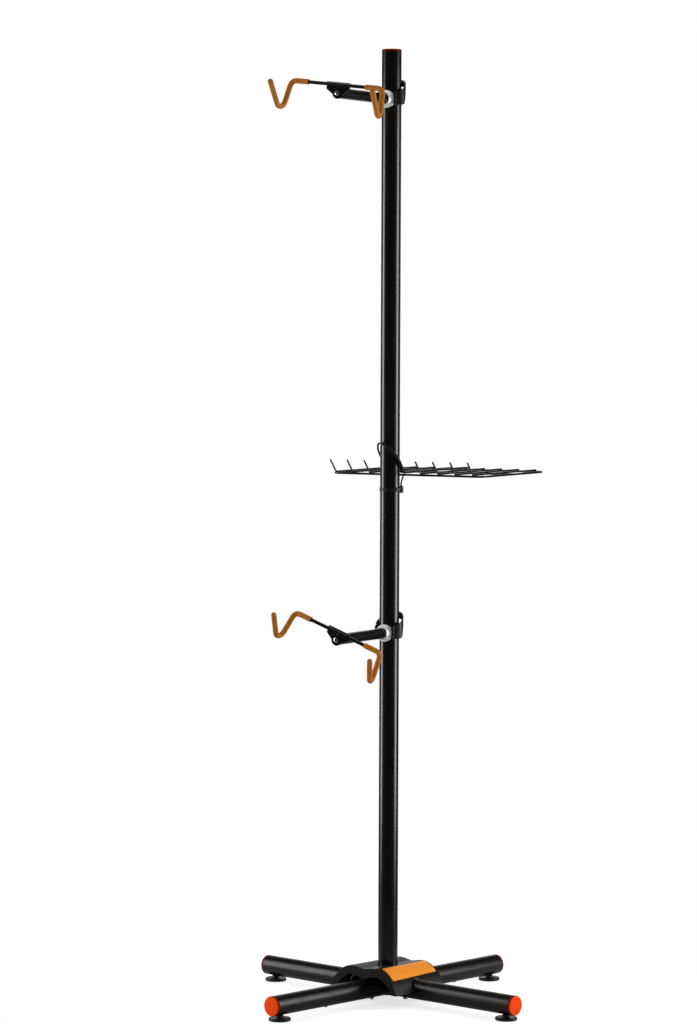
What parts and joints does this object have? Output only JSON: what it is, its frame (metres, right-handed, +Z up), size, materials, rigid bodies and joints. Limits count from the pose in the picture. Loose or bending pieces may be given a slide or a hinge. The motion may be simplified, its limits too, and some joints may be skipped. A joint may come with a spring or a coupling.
{
  "type": "bike display stand",
  "caption": "Free-standing bike display post on crossed legs with screw feet, with tilting hook cradles that slide and swivel, and a wire accessory tray.",
  "frame": {"origin": "on the floor, on the post's axis", "axes": "+Z up along the post, -Y to the front, +X to the right; the legs stand at 45 degrees to X and Y"},
  "size_m": [0.6384, 0.6933, 2.145],
  "materials": {
    "black_paint": "gloss black powder coat",
    "cover_plastic": "satin moulded",
    "black_plastic": "satin",
    "orange_plastic": "semi-gloss",
    "amber_rubber": "semi-gloss sleeve",
    "black_rubber": "matte",
    "bright_metal": "polished",
    "zinc_steel": "zinc plated"
  },
  "bodies": {
    "stand": {"base_hub": "black_paint", "base_cover": "cover_plastic", "lower_post": "black_paint", "upper_post": "black_paint", "post_joiner": "zinc_steel", "post_cap": "orange_plastic", "rear_right_leg": "black_paint", "rear_right_leg_cap": "orange_plastic", "rear_right_leg_bolt": "zinc_steel", "rear_right_leg_screw": "black_paint", "rear_left_leg": "black_paint", "rear_left_leg_cap": "orange_plastic", "rear_left_leg_bolt": "zinc_steel", "front_left_leg": "black_paint", "front_left_leg_cap": "orange_plastic", "front_left_leg_bolt": "zinc_steel", "front_left_leg_screw": "black_paint", "front_right_leg": "black_paint", "front_right_leg_cap": "orange_plastic", "front_right_leg_bolt": "zinc_steel"},
    "rear_right_stud": {"rear_right_foot_stud": "zinc_steel"},
    "rear_right_pad": {"rear_right_foot_pad": "black_plastic"},
    "rear_left_stud": {"rear_left_foot_stud": "zinc_steel"},
    "rear_left_pad": {"rear_left_foot_pad": "black_plastic"},
    "front_left_stud": {"front_left_foot_stud": "zinc_steel"},
    "front_left_pad": {"front_left_foot_pad": "black_plastic"},
    "front_right_stud": {"front_right_foot_stud": "zinc_steel"},
    "front_right_pad": {"front_right_foot_pad": "black_plastic"},
    "lower_slider": {"lower_grip_bush": "black_plastic"},
    "lower_arm": {"lower_saddle": "bright_metal", "lower_yoke": "black_paint", "lower_yoke_pin_left": "zinc_steel", "lower_yoke_pin_right": "zinc_steel", "lower_arm_tube": "black_paint", "lower_arm_end_plug": "black_paint", "lower_tilt_washer": "black_plastic", "lower_pivot_bolt": "zinc_steel"},
    "lower_cradle": {"lower_cradle_bracket": "black_paint", "lower_cradle_rod": "black_paint", "lower_hook_sleeve_left": "amber_rubber", "lower_hook_sleeve_right": "amber_rubber"},
    "upper_slider": {"upper_grip_bush": "black_plastic"},
    "upper_arm": {"upper_saddle": "bright_metal", "upper_yoke": "black_paint", "upper_yoke_pin_left": "zinc_steel", "upper_yoke_pin_right": "zinc_steel", "upper_arm_tube": "black_paint", "upper_arm_end_plug": "black_paint", "upper_tilt_washer": "black_plastic", "upper_pivot_bolt": "zinc_steel"},
    "upper_cradle": {"upper_cradle_bracket": "black_paint", "upper_cradle_rod": "black_paint", "upper_hook_sleeve_left": "amber_rubber", "upper_hook_sleeve_right": "amber_rubber"},
    "tray_slider": {"tray_bush": "black_plastic"},
    "tray": {"tray_frame": "black_paint", "tray_hanger": "black_paint", "tray_loop_sleeve": "black_rubber", "tray_rest_ring": "black_rubber"}
  },
  "joints": [
    {"name": "rear_right_foot_slide", "type": "slide", "parent": "stand", "child": "rear_right_stud", "axis": [0, 0, 1], "range_m": [-0.0101, 0]},
    {"name": "rear_right_foot_turn", "type": "hinge", "parent": "rear_right_stud", "child": "rear_right_pad", "pos_m": [0.24926, 0.24926, 0], "axis": [0, 0, 1], "range_deg": [-2880, 0]},
    {"name": "rear_left_foot_slide", "type": "slide", "parent": "stand", "child": "rear_left_stud", "axis": [0, 0, 1], "range_m": [-0.0101, 0]},
    {"name": "rear_left_foot_turn", "type": "hinge", "parent": "rear_left_stud", "child": "rear_left_pad", "pos_m": [-0.24926, 0.24926, 0], "axis": [0, 0, 1], "range_deg": [-2880, 0]},
    {"name": "front_left_foot_slide", "type": "slide", "parent": "stand", "child": "front_left_stud", "axis": [0, 0, 1], "range_m": [-0.0101, 0]},
    {"name": "front_left_foot_turn", "type": "hinge", "parent": "front_left_stud", "child": "front_left_pad", "pos_m": [-0.24926, -0.24926, 0], "axis": [0, 0, 1], "range_deg": [-2880, 0]},
    {"name": "front_right_foot_slide", "type": "slide", "parent": "stand", "child": "front_right_stud", "axis": [0, 0, 1], "range_m": [-0.0101, 0]},
    {"name": "front_right_foot_turn", "type": "hinge", "parent": "front_right_stud", "child": "front_right_pad", "pos_m": [0.24926, -0.24926, 0], "axis": [0, 0, 1], "range_deg": [-2880, 0]},
    {"name": "lower_arm_slide", "type": "slide", "parent": "stand", "child": "lower_slider", "axis": [0, 0, 1], "range_m": [-0.385, 0.12]},
    {"name": "lower_arm_swivel", "type": "hinge", "parent": "lower_slider", "child": "lower_arm", "pos_m": [0, 0, 0.835], "axis": [0, 0, 1], "continuous": true},
    {"name": "lower_cradle_tilt", "type": "hinge", "parent": "lower_arm", "child": "lower_cradle", "pos_m": [0, 0, 0.835], "axis": [-0.518, -0.8554, 0], "range_deg": [-9.2, 50.8]},
    {"name": "upper_arm_slide", "type": "slide", "parent": "stand", "child": "upper_slider", "axis": [0, 0, 1], "range_m": [-0.35, 0.03]},
    {"name": "upper_arm_swivel", "type": "hinge", "parent": "upper_slider", "child": "upper_arm", "pos_m": [0, 0, 2.032], "axis": [0, 0, 1], "continuous": true},
    {"name": "upper_cradle_tilt", "type": "hinge", "parent": "upper_arm", "child": "upper_cradle", "pos_m": [0, 0, 2.032], "axis": [-0.527, -0.8499, 0], "range_deg": [-23.5, 36.5]},
    {"name": "tray_slide", "type": "slide", "parent": "stand", "child": "tray_slider", "axis": [0, 0, 1], "range_m": [-0.08, 0.25]},
    {"name": "tray_swivel", "type": "hinge", "parent": "tray_slider", "child": "tray", "pos_m": [0, 0, 1.158], "axis": [0, 0, 1], "continuous": true}
  ],
  "couplings": [
    {"joint": "rear_right_foot_slide", "follows": "rear_right_foot_turn", "m_per_rad": 0.00019894},
    {"joint": "rear_left_foot_slide", "follows": "rear_left_foot_turn", "m_per_rad": 0.00019894},
    {"joint": "front_left_foot_slide", "follows": "front_left_foot_turn", "m_per_rad": 0.00019894},
    {"joint": "front_right_foot_slide", "follows": "front_right_foot_turn", "m_per_rad": 0.00019894}
  ]
}
